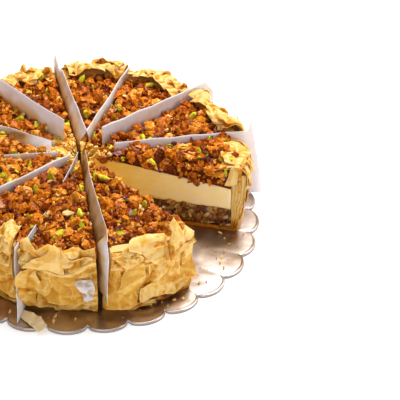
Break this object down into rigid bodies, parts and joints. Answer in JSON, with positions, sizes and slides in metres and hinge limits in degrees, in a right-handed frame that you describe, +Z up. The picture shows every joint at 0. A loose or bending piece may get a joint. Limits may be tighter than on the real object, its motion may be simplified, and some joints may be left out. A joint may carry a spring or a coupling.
{
  "type": "baklava cheesecake",
  "caption": "Round cheesecake in a crinkled filo shell with a nut base and candied nut topping, sliced, one portion gone, papers in the cuts, on a scalloped silver card.",
  "frame": {"origin": "middle of the card's underside, on the surface it stands on", "axes": "+Z up through the cake; -Y is the front and +X the right, so the missing portion faces front right"},
  "size_m": [0.283, 0.28, 0.0747],
  "materials": {
    "filo": "crisp baked filo pastry, golden with toasted blisters and pale torn edges",
    "nut_layer": "chopped nuts bound with syrup, rough and dark",
    "cream": "baked cream cheese, smooth knife-cut face",
    "candied_nuts": "caramelised chopped nuts, sticky and glossy",
    "pistachio": "syrup-coated pistachio kernels",
    "greaseproof_paper": "white greaseproof paper with butter stains",
    "silver_foil": "silver foil laminated on board, bright rolled rim"
  },
  "bodies": {
    "root": {"cake_card": "silver_foil", "filo_scrap": "filo", "crust_01": "filo", "nut_layer_01": "nut_layer", "cream_01": "cream", "topping_01": "candied_nuts", "crust_02": "filo", "nut_layer_02": "nut_layer", "cream_02": "cream", "topping_02": "candied_nuts", "crust_03": "filo", "nut_layer_03": "nut_layer", "cream_03": "cream", "topping_03": "candied_nuts", "crust_04": "filo", "nut_layer_04": "nut_layer", "cream_04": "cream", "topping_04": "candied_nuts", "crust_05": "filo", "nut_layer_05": "nut_layer", "cream_05": "cream", "topping_05": "candied_nuts", "crust_06": "filo", "nut_layer_06": "nut_layer", "cream_06": "cream", "topping_06": "candied_nuts", "crust_07": "filo", "nut_layer_07": "nut_layer", "cream_07": "cream", "topping_07": "candied_nuts", "crust_08": "filo", "nut_layer_08": "nut_layer", "cream_08": "cream", "topping_08": "candied_nuts", "crust_09": "filo", "nut_layer_09": "nut_layer", "cream_09": "cream", "topping_09": "candied_nuts", "crust_10": "filo", "nut_layer_10": "nut_layer", "cream_10": "cream", "topping_10": "candied_nuts", "crust_11": "filo", "nut_layer_11": "nut_layer", "cream_11": "cream", "topping_11": "candied_nuts", "paper_01": "greaseproof_paper", "paper_02": "greaseproof_paper", "paper_03": "greaseproof_paper", "paper_04": "greaseproof_paper", "paper_05": "greaseproof_paper", "paper_06": "greaseproof_paper", "paper_07": "greaseproof_paper", "paper_08": "greaseproof_paper", "paper_09": "greaseproof_paper", "paper_10": "greaseproof_paper"}
  },
  "joints": []
}
